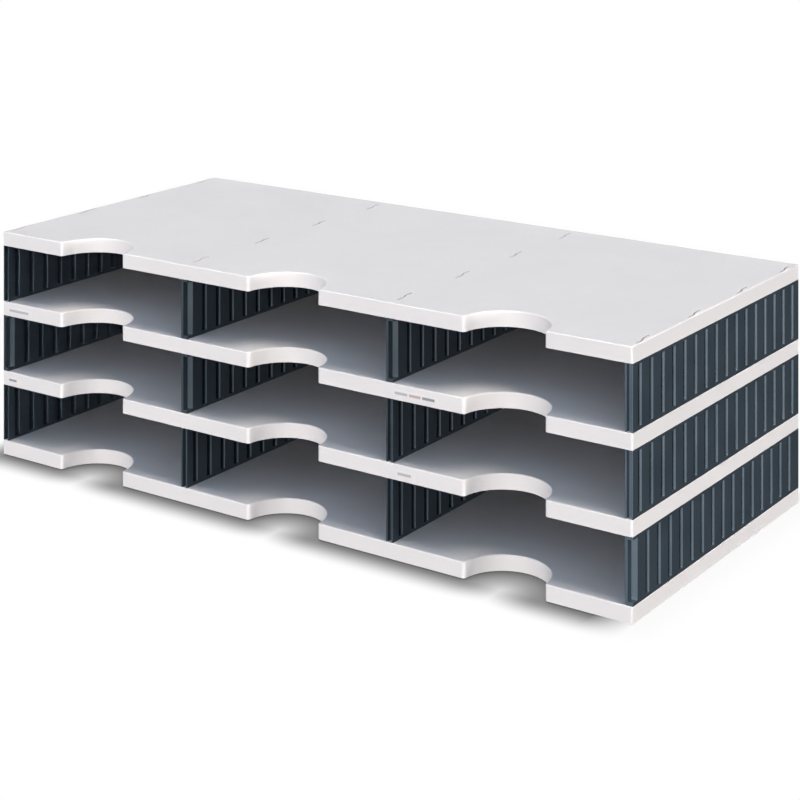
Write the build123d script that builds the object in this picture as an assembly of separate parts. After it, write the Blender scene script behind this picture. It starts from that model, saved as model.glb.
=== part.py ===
from build123d import *
import os

# Desktop file sorter: four identical trays stacked on twelve corrugated dividers, three columns
# by three rows of compartments. Millimetres, +Z up, the row of columns along X, the open front
# towards -Y. The origin is the centre of the footprint, on the surface that the feet stand on.

# Tray
TRAY_LENGTH = 723.0
TRAY_DEPTH = 331.0
TRAY_HEIGHT = 14.0
TRAY_CORNER_RADIUS = 2.0
TRAY_TOP_EDGE_RADIUS = 1.0
LEAST_INNER_RADIUS = 0.5
DECK_THICKNESS = 3.0
SKIRT_THICKNESS = 2.5
NOTCH_RADIUS = 40.0
NOTCH_MOUTH_RADIUS = 3.0
LINE_RIB_THICKNESS = 2.5
CROSS_RIB_THICKNESS = 2.0
CROSS_RIB_HEIGHT = 7.0
CROSS_RIB_Y = (-94.0, 0.0, 94.0)

# Layout of the stack
COLUMN_COUNT = 3
COLUMN_PITCH = 238.5
ROW_CLEAR_HEIGHT = 56.5
ROW_PITCH = TRAY_HEIGHT + ROW_CLEAR_HEIGHT

# Corrugated divider
DIVIDER_LENGTH = 329.5
DIVIDER_THICKNESS = 7.5
SHEET_THICKNESS = 2.5
CORRUGATION_DEPTH = DIVIDER_THICKNESS - SHEET_THICKNESS
CORRUGATION_PERIOD = 20.15
CORRUGATION_COUNT = 16
CORRUGATION_SHIFT = 3.5
GROOVE_WIDTH = 4.6
FLANK_THICKNESS = CORRUGATION_PERIOD / 2 - GROOVE_WIDTH
FLANK_DRAFT = 0.8
CORRUGATION_EDGE_RADIUS = 0.45
END_GROOVE_WIDTH = 4.3
END_GROOVE_DEPTH = 5.0
LOWER_RAIL_HEIGHT = 3.0
UPPER_RAIL_HEIGHT = 2.5

# Tabs on the dividers, and the tray slots and sockets that take them
TAB_PITCH = 94.0
TAB_STATIONS = (-1.5, -0.5, 0.5, 1.5)
TAB_LENGTH = 27.0
TAB_THICKNESS = 1.2
TAB_SWAY = 1.3
TAB_DIAGONAL_LENGTH = 6.0
LOWER_TAB_HEIGHT = 5.0
UPPER_TAB_HEIGHT = 6.0
SLOT_CLEARANCE = 0.1
SOCKET_LENGTH = 34.0
SOCKET_WIDTH = 12.0
SOCKET_CORNER_RADIUS = 2.0

# Rubber feet under the base tray
FOOT_RADIUS = 7.0
FOOT_HEIGHT = 1.5
FOOT_EDGE_RADIUS = 0.5
FOOT_PAD_RADIUS = 9.0
FOOT_X = {"left_outer": -335.0, "left_inner": -98.0, "right_inner": 98.0, "right_outer": 335.0}
FOOT_Y = {"front": -149.0, "rear": 149.0}

# Blank label strips on the front skirts: tray level, left end X, length
LABEL_HEIGHT = 5.5
LABEL_THICKNESS = 0.25
LABEL_CORNER_RADIUS = 0.8
LABEL_CENTRE_DROP = 7.9
LABELS = {
    "label_lower_shelf_left": (1, -354.0, 20.0),
    "label_lower_shelf_right": (1, 127.0, 20.0),
    "label_upper_shelf_left": (2, -354.0, 33.0),
    "label_upper_shelf_right": (2, 123.0, 48.0),
}

TRAYS = ("base_tray", "lower_shelf", "upper_shelf", "top_tray")
ROWS = ("bottom", "middle", "top")
LINES = ("left_end", "left_inner", "right_inner", "right_end")

# Dividers fit either way round; these ones are turned end for end.
TURNED_DIVIDERS = {
    "top_left_inner_divider",
    "top_right_inner_divider",
    "middle_left_end_divider",
    "middle_left_inner_divider",
    "bottom_right_end_divider",
}

FRONT_Y = -TRAY_DEPTH / 2
LINE_X = [COLUMN_PITCH * (i - COLUMN_COUNT / 2) for i in range(COLUMN_COUNT + 1)]
COLUMN_X = [COLUMN_PITCH * (i - (COLUMN_COUNT - 1) / 2) for i in range(COLUMN_COUNT)]
TAB_Y = [TAB_PITCH * station for station in TAB_STATIONS]


def tray_bottom(level):
    """Height of the lower edge of a tray's skirt above the table."""
    return FOOT_HEIGHT + level * ROW_PITCH


def tray_outline(inset):
    """Plan of a tray, moved inwards by inset: a rounded rectangle with one finger notch a column."""
    plan = RectangleRounded(
        TRAY_LENGTH - 2 * inset,
        TRAY_DEPTH - 2 * inset,
        max(TRAY_CORNER_RADIUS - inset, LEAST_INNER_RADIUS),
    )
    for x in COLUMN_X:
        plan -= Pos(x, FRONT_Y) * Circle(NOTCH_RADIUS + inset)
    mouth_corners = [v for v in plan.vertices() if at_a_notch_mouth(v, FRONT_Y + inset)]
    return fillet(mouth_corners, max(NOTCH_MOUTH_RADIUS - inset, LEAST_INNER_RADIUS))


def at_a_notch_mouth(vertex, front_edge_y):
    """True for a corner where the rim of a finger notch meets the front edge."""
    on_front_edge = abs(vertex.Y - front_edge_y) < TRAY_CORNER_RADIUS / 10
    near_a_rim = any(
        abs(abs(vertex.X - centre) - NOTCH_RADIUS) < 2 * SKIRT_THICKNESS for centre in COLUMN_X
    )
    return on_front_edge and near_a_rim


def tab_plan(clearance):
    """Z-shaped plan of a divider's tab: two straight arms, joined by a short diagonal."""
    half = TAB_THICKNESS / 2 + clearance
    end = TAB_LENGTH / 2 + clearance
    bend = TAB_DIAGONAL_LENGTH / 2
    outline = Polyline(
        (TAB_SWAY + half, -end),
        (TAB_SWAY + half, -bend + half / 2),
        (-TAB_SWAY + half, bend + half / 2),
        (-TAB_SWAY + half, end),
        (-TAB_SWAY - half, end),
        (-TAB_SWAY - half, bend - half / 2),
        (TAB_SWAY - half, -bend - half / 2),
        (TAB_SWAY - half, -end),
        close=True,
    )
    return make_face(outline)


def slot_cutters():
    """Every through slot of one tray, as one set of prisms."""
    slot = extrude(tab_plan(SLOT_CLEARANCE), TRAY_HEIGHT)
    return [Pos(x, y, 0) * slot for x in LINE_X for y in TAB_Y]


def tray_underside():
    """Ribs, tab sockets and foot pads that hang from the deck inside the skirt."""
    depth = TRAY_HEIGHT - DECK_THICKNESS
    line_rib = Pos(0, 0, depth / 2) * Box(LINE_RIB_THICKNESS, TRAY_DEPTH, depth)
    socket = extrude(RectangleRounded(SOCKET_WIDTH, SOCKET_LENGTH, SOCKET_CORNER_RADIUS), depth)
    foot_pad = extrude(Circle(FOOT_PAD_RADIUS), depth)
    cross_rib = Box(TRAY_LENGTH, CROSS_RIB_THICKNESS, CROSS_RIB_HEIGHT)
    pieces = [Pos(x, 0, 0) * line_rib for x in LINE_X]
    pieces += [Pos(x, y, 0) * socket for x in LINE_X for y in TAB_Y]
    pieces += [Pos(x, y, 0) * foot_pad for x in FOOT_X.values() for y in FOOT_Y.values()]
    pieces += [Pos(0, y, depth - CROSS_RIB_HEIGHT / 2) * cross_rib for y in CROSS_RIB_Y]
    return pieces


def tray():
    """One tray: a flat deck with a skirt all round, ribbed underneath, with its slots."""
    depth = TRAY_HEIGHT - DECK_THICKNESS
    outer = extrude(tray_outline(0), TRAY_HEIGHT)
    outer = fillet(outer.edges().group_by(Axis.Z)[-1], TRAY_TOP_EDGE_RADIUS)
    cavity = extrude(tray_outline(SKIRT_THICKNESS), depth)
    body = outer - (cavity - tray_underside())
    return body - slot_cutters()


def corrugation_steps():
    """Each flank's middle along the divider, with +1 where the wall steps out and -1 back."""
    steps = []
    for i in range(CORRUGATION_COUNT):
        ridge_start = CORRUGATION_SHIFT + CORRUGATION_PERIOD * (i - (CORRUGATION_COUNT - 1) / 2)
        steps.append((ridge_start, 1))
        steps.append((ridge_start + CORRUGATION_PERIOD / 2, -1))
    steps.insert(0, (steps[0][0] - CORRUGATION_PERIOD / 2, -1))
    return [step for step in steps if abs(step[0]) < DIVIDER_LENGTH / 2 - FLANK_THICKNESS]


def corrugated_face_points(side):
    """Plan points of one face of the corrugated wall; side is +1 for the +X face, else -1."""
    offset = side * SHEET_THICKNESS / 2
    half_depth = CORRUGATION_DEPTH / 2
    steps = corrugation_steps()
    points = [(-steps[0][1] * half_depth + offset, -DIVIDER_LENGTH / 2)]
    for y, direction in steps:
        face_y = y - side * direction * FLANK_THICKNESS / 2
        points.append((-direction * half_depth + offset, face_y - FLANK_DRAFT))
        points.append((direction * half_depth + offset, face_y + FLANK_DRAFT))
    points.append((steps[-1][1] * half_depth + offset, DIVIDER_LENGTH / 2))
    return points


def corrugated_plan():
    """Plan of the wall: grooved from both faces in turn, its front end split by a groove too."""
    outline = corrugated_face_points(1) + corrugated_face_points(-1)[::-1]
    plan = make_face(Polyline(*outline, close=True))
    end_length = corrugation_steps()[0][0] + DIVIDER_LENGTH / 2
    end_block = Rectangle(DIVIDER_THICKNESS, end_length)
    plan += Pos(0, (end_length - DIVIDER_LENGTH) / 2) * end_block
    end_groove = Rectangle(END_GROOVE_WIDTH, END_GROOVE_DEPTH)
    plan -= Pos(0, (END_GROOVE_DEPTH - DIVIDER_LENGTH) / 2) * end_groove
    return fillet(plan.vertices(), CORRUGATION_EDGE_RADIUS)


def rail_plan():
    """Plan of a rail: full width, from the first flank of the wall to the far end."""
    front = corrugation_steps()[0][0]
    back = DIVIDER_LENGTH / 2
    plan = RectangleRounded(DIVIDER_THICKNESS, back - front, CORRUGATION_EDGE_RADIUS)
    return Pos(0, (front + back) / 2) * plan


def divider():
    """One divider, standing on Z = 0: corrugated wall, two rails, four tabs below and above."""
    body = extrude(corrugated_plan(), ROW_CLEAR_HEIGHT)
    body += extrude(rail_plan(), LOWER_RAIL_HEIGHT)
    body += Pos(0, 0, ROW_CLEAR_HEIGHT - UPPER_RAIL_HEIGHT) * extrude(rail_plan(), UPPER_RAIL_HEIGHT)
    lower_tab = extrude(tab_plan(0), LOWER_TAB_HEIGHT + LOWER_RAIL_HEIGHT)
    upper_tab = extrude(tab_plan(0), UPPER_TAB_HEIGHT + UPPER_RAIL_HEIGHT)
    tabs = [Pos(0, y, -LOWER_TAB_HEIGHT) * lower_tab for y in TAB_Y]
    tabs += [Pos(0, y, ROW_CLEAR_HEIGHT - UPPER_RAIL_HEIGHT) * upper_tab for y in TAB_Y]
    return body + tabs


def foot():
    """One stick-on rubber foot, hanging down from Z = 0."""
    disc = Pos(0, 0, -FOOT_HEIGHT) * extrude(Circle(FOOT_RADIUS), FOOT_HEIGHT)
    return fillet(disc.edges().group_by(Axis.Z)[0], FOOT_EDGE_RADIUS)


def label(length):
    """One blank label strip: its back on the XZ plane, its left end at X = 0."""
    plan = Plane.XZ * Pos(length / 2, 0) * RectangleRounded(
        length, LABEL_HEIGHT, LABEL_CORNER_RADIUS
    )
    return extrude(plan, LABEL_THICKNESS)


def build_trays():
    """The four trays, from the base up."""
    one_tray = tray()
    return {name: Pos(0, 0, tray_bottom(level)) * one_tray for level, name in enumerate(TRAYS)}


def build_dividers():
    """The twelve dividers, each standing on the deck of the tray below it."""
    one_divider = divider()
    nodes = {}
    for level, row in enumerate(ROWS):
        deck_z = tray_bottom(level) + TRAY_HEIGHT
        for x, line in zip(LINE_X, LINES):
            name = f"{row}_{line}_divider"
            turn = 180 if name in TURNED_DIVIDERS else 0
            nodes[name] = Pos(x, 0, deck_z) * Rot(0, 0, turn) * one_divider
    return nodes


def build_feet():
    """The rubber feet, stuck on the pads under the base tray."""
    one_foot = foot()
    return {
        f"foot_{end}_{side}": Pos(x, y, FOOT_HEIGHT) * one_foot
        for end, y in FOOT_Y.items()
        for side, x in FOOT_X.items()
    }


def build_labels():
    """The blank label strips, stuck on the front skirts of the two shelves."""
    nodes = {}
    for name, (level, x, length) in LABELS.items():
        centre_z = tray_bottom(level) + TRAY_HEIGHT - LABEL_CENTRE_DROP
        nodes[name] = Pos(x, FRONT_Y, centre_z) * label(length)
    return nodes


os.makedirs("parts", exist_ok=True)
for nodes in (build_trays(), build_dividers(), build_feet(), build_labels()):
    for node_name, shape in nodes.items():
        export_step(shape, f"parts/{node_name}.step")
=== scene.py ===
import math

import bpy
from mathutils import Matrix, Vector


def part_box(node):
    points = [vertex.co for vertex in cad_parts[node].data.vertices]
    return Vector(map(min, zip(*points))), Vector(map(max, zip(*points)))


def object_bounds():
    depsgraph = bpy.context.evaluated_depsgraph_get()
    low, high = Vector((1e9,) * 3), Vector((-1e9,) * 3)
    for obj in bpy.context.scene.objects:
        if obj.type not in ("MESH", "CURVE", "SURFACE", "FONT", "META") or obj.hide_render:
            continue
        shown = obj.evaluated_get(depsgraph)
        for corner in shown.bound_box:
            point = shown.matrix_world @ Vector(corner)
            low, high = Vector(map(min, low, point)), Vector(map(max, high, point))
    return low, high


# Looks of a desktop file sorter: light grey moulded trays on satin blue-black corrugated
# dividers, with rubber feet and blank label strips. Metres, in the frame of the CAD model.

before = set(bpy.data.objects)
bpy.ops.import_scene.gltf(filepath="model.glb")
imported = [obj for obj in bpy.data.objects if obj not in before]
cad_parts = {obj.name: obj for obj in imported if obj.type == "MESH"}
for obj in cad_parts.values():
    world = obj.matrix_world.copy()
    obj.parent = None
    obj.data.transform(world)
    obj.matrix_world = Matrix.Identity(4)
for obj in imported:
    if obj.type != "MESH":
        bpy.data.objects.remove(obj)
CAD_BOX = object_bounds()

MM = 0.001

TRAYS = ("base_tray", "lower_shelf", "upper_shelf", "top_tray")
LINES = ("left_end", "left_inner", "right_inner", "right_end")
NOTCH_RADIUS = 40.0 * MM

# Camera: level, turned left by CAMERA_TURN radians, with the lens shifted down, so that uprights
# stay parallel in the picture. The shift holds only within SHIFT_HOLD of the camera's own place
CAMERA_PLACE = (1.1341, -1.5989, 0.6914)
CAMERA_TURN = 0.601
CAMERA_LENS = 89.75
SENSOR_WIDTH = 36.0
SHIFT_X = -0.0237
SHIFT_Y = -0.7815
SHIFT_HOLD = 0.1 * MM
CLIP_NEAR = 0.01
CLIP_FAR = 100.0

# Lights: name, direction it comes from (azimuth from the front towards the right, elevation),
# strength, apparent size in degrees, colour, and the group of nodes that it lights
SUNS = (
    ("key_softbox", (95.0, 64.0), 2.4, 34.0, (1.0, 0.91, 0.80), None),
    ("front_lip_strip", (14.0, 1.2), 2.3, 2.0, (1.0, 0.90, 0.81), "trays"),
    ("right_lip_strip", (88.0, 4.0), 1.3, 6.0, (1.0, 0.98, 0.96), "trays"),
    ("back_lip_strip", (181.0, 0.9), 1.3, 1.6, (1.0, 0.96, 0.92), "trays"),
    ("left_kicker", (198.0, 12.0), 11.0, 16.0, (0.92, 0.98, 1.0), "left_walls"),
    ("wall_kicker", (17.0, 12.0), 12.5, 16.0, (0.92, 0.98, 1.0), "right_walls"),
    ("inner_kicker", (11.0, 12.0), 5.5, 18.0, (0.96, 1.0, 0.98), "inner_walls"),
)
# The groups, by how the names of their nodes end
LIT_GROUPS = {
    "trays": ("_tray", "_shelf", "_left", "_right"),
    "right_walls": ("right_end_divider",),
    "left_walls": ("left_end_divider",),
    "inner_walls": ("left_end_divider", "inner_divider"),
}

# Sky: its strength in front, behind and overhead. The spans say where one turns into the next,
# on the Y part (front to back) and the Z part (sides to top) of a direction of length 1
SKY_FRONT = 0.92
SKY_BACK = 0.07
SKY_BACK_SPAN = (-0.5, 0.4)
SKY_TOP = 0.58
SKY_TOP_SPAN = (0.4, 0.95)
SKY_TINT = (0.79, 0.94, 1.15)
BACKDROP_WHITE = 1.0

# Floor: how much light it throws back, in front of the object and behind, over a span of Y
FLOOR_RADIUS = 14.0
FLOOR_CORNERS = 64
FLOOR_BOUNCE_FRONT = 0.12
FLOOR_BOUNCE_BACK = 0.06
FLOOR_BOUNCE_SPAN = (-0.25, 0.10)

# Painted contact shadow: brightness of the floor at the base, and how far out it is white again
SHADOW_DEEPEST = 0.27
SHADOW_REACH = 38.0 * MM
NOTCH_OPENNESS = 0.55
RIGHT_SHADOW_FADE = 0.95
CREVICE_SPAN = (0.3, 0.75)
CREVICE_SHADE = 0.5

# The range that most of a noise texture keeps to
NOISE_SPAN = (0.3, 0.7)


# ---------------------------------------------------------------- node trees


class Tree:
    """A node tree under construction. Values are numbers, colours, or output sockets."""

    def __init__(self, owner):
        owner.use_nodes = True
        self.nodes = owner.node_tree.nodes
        self.links = owner.node_tree.links
        self.nodes.clear()

    def feed(self, socket, value):
        if isinstance(value, bpy.types.NodeSocket):
            self.links.new(value, socket)
        elif isinstance(value, tuple) and len(value) == 3 and socket.type == "RGBA":
            socket.default_value = (*value, 1.0)
        else:
            socket.default_value = value

    def node(self, kind, inputs=(), **settings):
        made = self.nodes.new(kind)
        for key, value in settings.items():
            setattr(made, key, value)
        for key, value in dict(inputs).items():
            self.feed(made.inputs[key], value)
        return made

    def maths(self, operation, *values):
        made = self.node("ShaderNodeMath", operation=operation)
        for socket, value in zip(made.inputs, values):
            self.feed(socket, value)
        return made.outputs[0]

    def above_zero(self, value):
        return self.maths("MAXIMUM", value, 0.0)

    def length(self, *sides):
        """Length of the vector with these parts."""
        squares = [self.maths("MULTIPLY", side, side) for side in sides]
        total = squares[0]
        for square in squares[1:]:
            total = self.maths("ADD", total, square)
        return self.maths("SQRT", total)

    def ramp(self, value, low, high, to_low=0.0, to_high=1.0, smooth=False):
        """value, mapped from low..high to to_low..to_high and held there."""
        made = self.node(
            "ShaderNodeMapRange",
            {"Value": value, "From Min": low, "From Max": high, "To Min": to_low, "To Max": to_high},
            interpolation_type="SMOOTHSTEP" if smooth else "LINEAR",
        )
        return made.outputs["Result"]

    def spread(self, noise, low=0.0, high=1.0):
        """A noise texture, stretched over low..high."""
        return self.ramp(noise, *NOISE_SPAN, low, high)

    def band(self, value, low, high, fade):
        """1 where value lies between low and high, with soft ends that are fade wide."""
        start = self.ramp(value, low, low + fade)
        end = self.ramp(value, high, high - fade)
        return self.maths("MULTIPLY", start, end)

    def mix(self, factor, a, b, blend_type="MIX"):
        made = self.node("ShaderNodeMix", data_type="RGBA", blend_type=blend_type)
        self.feed(made.inputs[0], factor)
        self.feed(made.inputs[6], a)
        self.feed(made.inputs[7], b)
        return made.outputs[2]

    def noise(self, place, scale, detail=2.0, roughness=0.5):
        made = self.node(
            "ShaderNodeTexNoise",
            {"Vector": place, "Scale": scale, "Detail": detail, "Roughness": roughness},
        )
        return made.outputs["Fac"]

    def stretched(self, place, scale):
        """place, multiplied axis by axis, so that a texture is drawn out along one axis."""
        made = self.node("ShaderNodeVectorMath", {0: place, 1: scale}, operation="MULTIPLY")
        return made.outputs[0]

    def bump(self, height, depth, normal=None):
        """Relief whose height runs over depth metres, on top of the relief in normal."""
        made = self.node("ShaderNodeBump", {"Height": height, "Distance": depth, "Strength": 1.0})
        if normal is not None:
            self.feed(made.inputs["Normal"], normal)
        return made.outputs["Normal"]

    def sharp_edges(self, radius, flat=0.995, sharp=0.80):
        """1 along edges within radius, 0 on flat faces: the cosine between the face's normal
        and the normal that a rounded edge would have there runs from flat to sharp."""
        rounded = self.node("ShaderNodeBevel", {"Radius": radius}, samples=4).outputs[0]
        plain = self.node("ShaderNodeNewGeometry").outputs["Normal"]
        cosine = self.node("ShaderNodeVectorMath", {0: rounded, 1: plain}, operation="DOT_PRODUCT")
        return self.ramp(cosine.outputs["Value"], flat, sharp)

    def openness(self, reach, samples):
        """1 in the open, less where other surfaces stand within reach."""
        return self.node("ShaderNodeAmbientOcclusion", {"Distance": reach}, samples=samples).outputs["AO"]

    def principled(self, **inputs):
        sockets = {key.replace("_", " ").title().replace("Ior", "IOR"): v for key, v in inputs.items()}
        shader = self.node("ShaderNodeBsdfPrincipled", sockets)
        self.node("ShaderNodeOutputMaterial", {"Surface": shader.outputs[0]})

    def object_place(self):
        return self.node("ShaderNodeTexCoord").outputs["Object"]

    def parts_of(self, vector):
        """The X, Y and Z sockets of a vector."""
        return self.node("ShaderNodeSeparateXYZ", {0: vector}).outputs


def new_material(name):
    material = bpy.data.materials.new(name)
    return material, Tree(material)


# ---------------------------------------------------------------- materials


TRAY_TONES = ((0.700, 0.680, 0.680), (0.730, 0.708, 0.706))
TRAY_GRAIN_TONE = (0.64, 0.625, 0.625)
TRAY_WORN_TONE = (0.82, 0.80, 0.79)
# Colour of the painted shade in corners and creases
TRAY_PAINTED_SHADE_TONE = (0.36, 0.345, 0.34)
TRAY_EDGE_WEAR = 0.45
TRAY_EDGE_POLISH = 0.12


def tray_material():
    """Light grey moulded polystyrene: fine spark-eroded grain, faint mottling, worn edges and
    painted shade that darkens the corners and creases."""
    material, t = new_material("tray_grey_plastic")
    place = t.object_place()
    mottle = t.noise(place, scale=9.0, detail=3.0)
    clouds = t.noise(place, scale=38.0)
    grain = t.noise(place, scale=1900.0, roughness=0.6)
    edge = t.sharp_edges(1.2 * MM)
    # Painted shade: darker where other surfaces stand within 5 mm, in corners and creases
    painted_corner_shade = t.ramp(t.openness(5.0 * MM, samples=4), 0.75, 0.25, 0.0, 0.25)

    tone = t.mix(t.spread(mottle), *TRAY_TONES)
    tone = t.mix(t.ramp(grain, 0.35, 0.65, 0.0, 0.35), tone, TRAY_GRAIN_TONE)
    tone = t.mix(t.maths("MULTIPLY", edge, TRAY_EDGE_WEAR), tone, TRAY_WORN_TONE)
    # Painted shade mixed into the tray colour
    tone = t.mix(painted_corner_shade, tone, TRAY_PAINTED_SHADE_TONE)

    roughness = t.maths("ADD", t.spread(clouds, 0.44, 0.54), t.spread(grain, -0.05, 0.05))
    roughness = t.maths("SUBTRACT", roughness, t.maths("MULTIPLY", edge, TRAY_EDGE_POLISH))

    relief = t.bump(grain, 0.035 * MM)
    relief = t.bump(clouds, 0.12 * MM, relief)
    t.principled(base_color=tone, roughness=roughness, ior=1.49, normal=relief, specular_ior_level=0.45)
    return material


DIVIDER_TONES = ((0.018, 0.025, 0.032), (0.023, 0.030, 0.037))
# Edge colour: partly rubbing wear, partly a painted highlight along the corners
DIVIDER_RUBBED_AND_HIGHLIGHT_TONE = (0.075, 0.086, 0.096)
DIVIDER_EDGE_WEAR_AND_HIGHLIGHT = 0.5
DRAG_LINES = (900.0, 900.0, 14.0)


def divider_material():
    """Satin blue-black polystyrene with drag lines up the corrugations and lightened edges, partly rubbing
    wear and partly a painted highlight.
    """
    material, t = new_material("divider_blue_black_plastic")
    place = t.object_place()
    mottle = t.noise(place, scale=30.0)
    drag = t.noise(t.stretched(place, DRAG_LINES), scale=1.0)
    grain = t.noise(place, scale=2600.0, detail=1.0)
    edge = t.sharp_edges(0.5 * MM)

    tone = t.mix(t.spread(mottle), *DIVIDER_TONES)
    # Edges lightened: partly wear, partly a painted highlight
    tone = t.mix(t.maths("MULTIPLY", edge, DIVIDER_EDGE_WEAR_AND_HIGHLIGHT), tone, DIVIDER_RUBBED_AND_HIGHLIGHT_TONE)
    roughness = t.maths("ADD", t.spread(mottle, 0.36, 0.42), t.spread(drag, -0.04, 0.05))

    relief = t.bump(grain, 0.010 * MM)
    relief = t.bump(drag, 0.020 * MM, relief)
    t.principled(base_color=tone, roughness=roughness, ior=1.5, normal=relief, specular_ior_level=0.28)
    return material


RUBBER_TONE = (0.018, 0.018, 0.019)
RUBBER_DUST_TONE = (0.07, 0.068, 0.065)


def rubber_material():
    """Black rubber with a dull fine stipple and a little dust."""
    material, t = new_material("foot_black_rubber")
    place = t.object_place()
    stipple = t.noise(place, scale=1500.0, detail=3.0)
    dust = t.noise(place, scale=160.0, detail=4.0)
    tone = t.mix(t.ramp(dust, 0.45, 0.75, 0.0, 0.4), RUBBER_TONE, RUBBER_DUST_TONE)
    t.principled(base_color=tone, roughness=t.spread(stipple, 0.72, 0.9), normal=t.bump(stipple, 0.05 * MM))
    return material


FILM_TONES = ((0.68, 0.67, 0.67), (0.73, 0.72, 0.72))
PALE_INK = (0.40, 0.39, 0.40)
DARK_INK = (0.21, 0.21, 0.22)
RED_INK = (0.48, 0.33, 0.32)
BAR_HEIGHTS = (0.26, 0.74)
BAR_HEIGHT_FADE = 0.06
BAR_LENGTH_FADE = 0.01
# Plain bars on each label: start and end, as shares of its length, and ink
LABEL_BARS = {
    "label_lower_shelf_left": ((0.08, 0.62, DARK_INK),),
    "label_lower_shelf_right": ((0.08, 0.80, PALE_INK),),
    "label_upper_shelf_left": ((0.06, 0.88, PALE_INK),),
    "label_upper_shelf_right": (
        (0.05, 0.34, PALE_INK),
        (0.37, 0.63, RED_INK),
        (0.66, 0.94, DARK_INK),
    ),
}


def label_material(name):
    """Pale satin film with plain printed bars."""
    material, t = new_material(f"film_{name}")
    low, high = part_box(name)
    place = t.object_place()
    axes = t.parts_of(place)
    along = t.ramp(axes["X"], low.x, high.x)
    up = t.ramp(axes["Z"], low.z, high.z)
    fibre = t.noise(place, scale=1400.0)

    tone = t.mix(t.spread(fibre), *FILM_TONES)
    ink_wear = t.ramp(t.noise(place, scale=2100.0), 0.35, 0.6, 0.75, 1.0)
    height = t.band(up, *BAR_HEIGHTS, BAR_HEIGHT_FADE)
    for start, end, ink in LABEL_BARS[name]:
        bar = t.maths("MULTIPLY", t.band(along, start, end, BAR_LENGTH_FADE), height)
        tone = t.mix(t.maths("MULTIPLY", bar, ink_wear), tone, ink)
    t.principled(base_color=tone, roughness=t.spread(fibre, 0.34, 0.42), normal=t.bump(fibre, 0.01 * MM))
    return material


def paint(node, material):
    """Gives a CAD node its material."""
    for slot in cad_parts[node].material_slots:
        slot.material = material


def paint_everything():
    grey = tray_material()
    dark = divider_material()
    rubber = rubber_material()
    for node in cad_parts:
        if node in TRAYS:
            paint(node, grey)
        elif node.endswith("_divider"):
            paint(node, dark)
        elif node.startswith("foot_"):
            paint(node, rubber)
        else:
            paint(node, label_material(node))


# ---------------------------------------------------------------- light


def direction(azimuth, elevation):
    """Unit vector towards a light; azimuth 0 is the front, 90 the right-hand side."""
    a = math.radians(azimuth)
    e = math.radians(elevation)
    return Vector((math.sin(a) * math.cos(e), -math.cos(a) * math.cos(e), math.sin(e)))


def lit_group(name):
    """A collection, outside the scene, of the nodes that one light may light."""
    group = bpy.data.collections.new(f"lit_{name}")
    for node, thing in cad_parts.items():
        if node.endswith(LIT_GROUPS[name]):
            group.objects.link(thing)
    return group


def make_lights():
    for name, angles, strength, size, colour, lit in SUNS:
        lamp = bpy.data.lights.new(name, "SUN")
        lamp.energy = strength
        lamp.angle = math.radians(size)
        lamp.color = colour
        thing = bpy.data.objects.new(name, lamp)
        bpy.context.scene.collection.objects.link(thing)
        thing.rotation_euler = direction(*angles).to_track_quat("Z", "Y").to_euler()
        if lit is not None:
            thing.light_linking.receiver_collection = lit_group(lit)


def make_world():
    """A soft sky, dimmer behind the object; the camera sees plain white instead."""
    world = bpy.data.worlds.new("studio")
    bpy.context.scene.world = world
    t = Tree(world)
    heading = t.parts_of(t.node("ShaderNodeTexCoord").outputs["Generated"])
    around = t.ramp(heading["Y"], *SKY_BACK_SPAN, SKY_FRONT, SKY_BACK, smooth=True)
    sky = t.mix(t.ramp(heading["Z"], *SKY_TOP_SPAN), around, (SKY_TOP,) * 3)
    sky = t.mix(1.0, sky, SKY_TINT, "MULTIPLY")
    seen = t.node("ShaderNodeLightPath").outputs["Is Camera Ray"]
    sky = t.mix(seen, sky, (BACKDROP_WHITE,) * 3)
    shader = t.node("ShaderNodeBackground", {"Color": sky, "Strength": 1.0})
    t.node("ShaderNodeOutputWorld", {"Surface": shader.outputs[0]})


# ---------------------------------------------------------------- floor


def gap_to_footprint(t, place):
    """Distance on the floor from the base tray's outline, counted short inside its notches."""
    gaps = []
    for axis, low, high in zip("XY", *CAD_BOX):
        off_centre = t.maths("ABSOLUTE", t.maths("SUBTRACT", place[axis], (low + high) / 2))
        gaps.append(t.above_zero(t.maths("SUBTRACT", off_centre, (high - low) / 2)))
    line_x = [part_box(f"bottom_{line}_divider")[0].x for line in LINES]
    behind = t.above_zero(t.maths("SUBTRACT", place["Y"], CAD_BOX[0][1]))
    for left, right in zip(line_x, line_x[1:]):
        aside = t.maths("SUBTRACT", place["X"], (left + right) / 2)
        to_rim = t.above_zero(t.maths("SUBTRACT", NOTCH_RADIUS, t.length(aside, behind)))
        gaps.append(t.maths("MULTIPLY", to_rim, NOTCH_OPENNESS))
    return t.length(*gaps)


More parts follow.
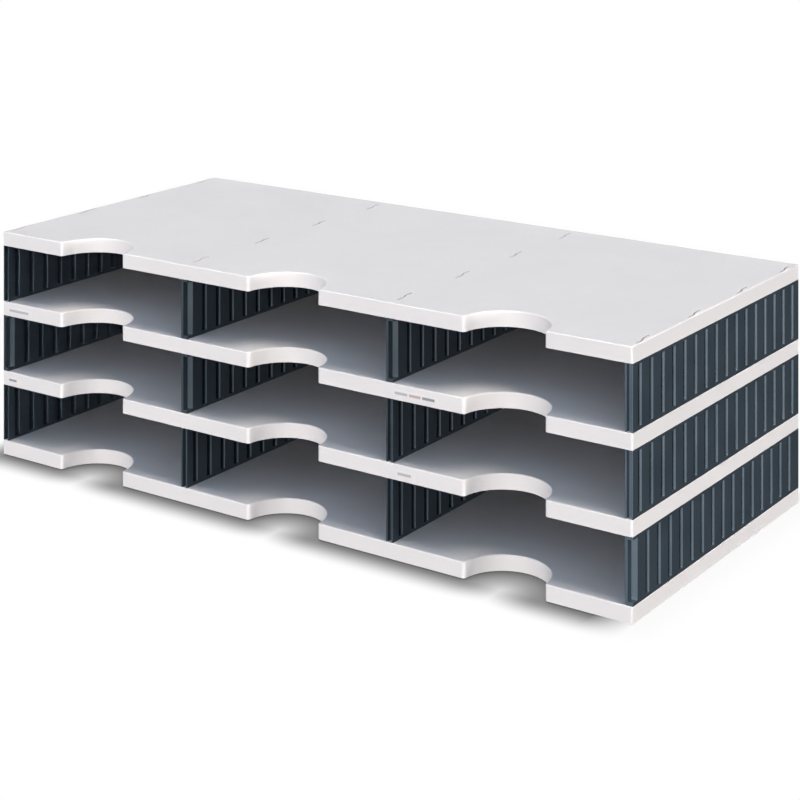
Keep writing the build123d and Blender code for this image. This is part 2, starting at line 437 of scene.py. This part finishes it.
def floor_material():
    """A white sweep: the camera sees it lit evenly, with a painted shadow only close round the base."""
    material, t = new_material("floor_white")
    place = t.parts_of(t.object_place())
    bounce = t.ramp(place["Y"], *FLOOR_BOUNCE_SPAN, FLOOR_BOUNCE_FRONT, FLOOR_BOUNCE_BACK, smooth=True)
    plain = t.node("ShaderNodeBsdfDiffuse", {"Color": bounce})

    # Painted contact shadow: from the distance to the base, deepened by occlusion, faded on the right
    shade = t.ramp(
        gap_to_footprint(t, place), 0.0, SHADOW_REACH, SHADOW_DEEPEST, BACKDROP_WHITE, smooth=True
    )
    crevice = t.ramp(t.openness(SHADOW_REACH, samples=16), *CREVICE_SPAN, CREVICE_SHADE, 1.0)
    shade = t.maths("MULTIPLY", shade, crevice)
    right = t.ramp(place["X"], CAD_BOX[1][0] - SHADOW_REACH, CAD_BOX[1][0])
    shade = t.mix(t.maths("MULTIPLY", right, RIGHT_SHADOW_FADE), shade, (BACKDROP_WHITE,) * 3)
    white_with_painted_shadow = t.node("ShaderNodeEmission", {"Color": shade})

    seen = t.node("ShaderNodeLightPath").outputs["Is Camera Ray"]
    either = t.node("ShaderNodeMixShader", {0: seen, 1: plain.outputs[0], 2: white_with_painted_shadow.outputs[0]})
    t.node("ShaderNodeOutputMaterial", {"Surface": either.outputs[0]})
    return material


def make_floor():
    turns = [2 * math.pi * corner / FLOOR_CORNERS for corner in range(FLOOR_CORNERS)]
    rim = [(FLOOR_RADIUS * math.cos(turn), FLOOR_RADIUS * math.sin(turn), 0.0) for turn in turns]
    mesh = bpy.data.meshes.new("floor")
    mesh.from_pydata(rim, [], [tuple(range(FLOOR_CORNERS))])
    mesh.materials.append(floor_material())
    floor = bpy.data.objects.new("floor", mesh)
    bpy.context.scene.collection.objects.link(floor)


# ---------------------------------------------------------------- camera


def hold_shift(camera, channel, amount):
    """Shifts the lens by amount while the camera stands at its own place, and not elsewhere."""
    curve = camera.data.driver_add(channel)
    for modifier in list(curve.modifiers):
        curve.modifiers.remove(modifier)
    curve.driver.type = "SUM"
    variable = curve.driver.variables.new()
    variable.type = "TRANSFORMS"
    variable.targets[0].id = camera
    variable.targets[0].transform_type = "LOC_X"
    variable.targets[0].transform_space = "WORLD_SPACE"
    here = CAMERA_PLACE[0]
    steps = ((0.0, 0.0), (here - SHIFT_HOLD, amount), (here + SHIFT_HOLD, 0.0))
    curve.extrapolation = "CONSTANT"
    curve.keyframe_points.add(len(steps))
    for point, step in zip(curve.keyframe_points, steps):
        point.co = step
        point.interpolation = "CONSTANT"


def make_camera():
    lens = bpy.data.cameras.new("camera")
    lens.lens = CAMERA_LENS
    lens.sensor_fit = "HORIZONTAL"
    lens.sensor_width = SENSOR_WIDTH
    lens.clip_start = CLIP_NEAR
    lens.clip_end = CLIP_FAR
    camera = bpy.data.objects.new("camera", lens)
    bpy.context.scene.collection.objects.link(camera)
    camera.location = CAMERA_PLACE
    camera.rotation_euler = (math.pi / 2, 0.0, CAMERA_TURN)
    hold_shift(camera, "shift_x", SHIFT_X)
    hold_shift(camera, "shift_y", SHIFT_Y)
    bpy.context.scene.camera = camera


paint_everything()
make_lights()
make_world()
make_floor()
make_camera()
bpy.context.scene.view_settings.view_transform = "Standard"
